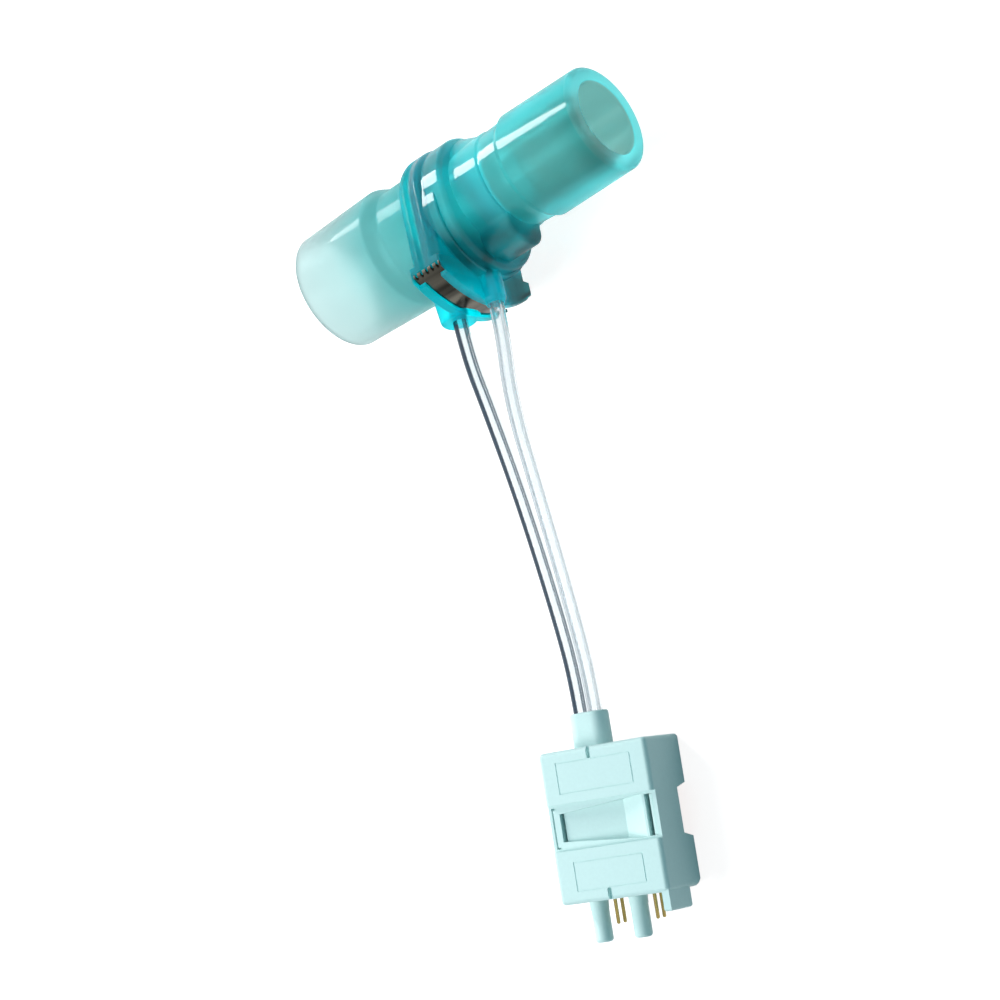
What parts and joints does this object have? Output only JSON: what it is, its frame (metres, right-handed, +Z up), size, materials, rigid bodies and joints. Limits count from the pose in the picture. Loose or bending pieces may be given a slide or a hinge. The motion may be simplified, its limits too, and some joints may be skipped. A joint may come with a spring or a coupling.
{
  "type": "anaesthesia flow sensor",
  "caption": "Anaesthesia flow sensor: translucent tube body with a strapped flange and pressure nipples, and clear tubes that lead to a small plug with contact pins.",
  "frame": {"origin": "on the surface it lies on, under the middle of the sensor body", "axes": "+Z up, +X along the gas flow from the wide socket to the cone, and the pressure tubes leave the body towards -Y"},
  "size_m": [0.0742, 0.1572, 0.0295],
  "materials": {
    "housing_inlet": "glossy, translucent",
    "housing_outlet": "glossy, translucent",
    "steel_strap": "polished",
    "steel_plate": "satin",
    "flap_film": "glossy film",
    "seal_rubber": "matt",
    "tube_rear": "clear, glossy",
    "tube_front": "clear, glossy",
    "connector_plastic": "fine satin",
    "carrier_plastic": "matt",
    "gold_plate": "polished gold plate",
    "board_laminate": "satin",
    "chip_plastic": "matt",
    "capacitor_body": "matt"
  },
  "bodies": {
    "sensor": {"inlet_housing": "housing_inlet", "outlet_housing": "housing_outlet", "clamp_band": "steel_strap", "flap_frame": "steel_plate", "housing_seal": "seal_rubber", "pressure_tube_rear": "tube_rear", "pressure_tube_front": "tube_front", "strain_relief": "connector_plastic", "connector_front_shell": "connector_plastic", "connector_rear_shell": "connector_plastic", "port_manifold": "connector_plastic", "pin_carrier_1": "carrier_plastic", "pin_carrier_2": "carrier_plastic", "contact_pin_1": "gold_plate", "contact_pin_2": "gold_plate", "contact_pin_3": "gold_plate", "contact_pin_4": "gold_plate", "circuit_board": "board_laminate", "memory_chip": "chip_plastic", "decoupling_capacitor": "capacitor_body"},
    "flap": {"flap": "flap_film"}
  },
  "joints": [
    {"name": "flap_hinge", "type": "hinge", "parent": "sensor", "child": "flap", "pos_m": [-0.00313, 0.01113, 0.01228], "axis": [-0.0296, 0.1736, 0.9844], "range_deg": [-40, 40], "stiffness_Nm_per_rad": 0.0003}
  ]
}
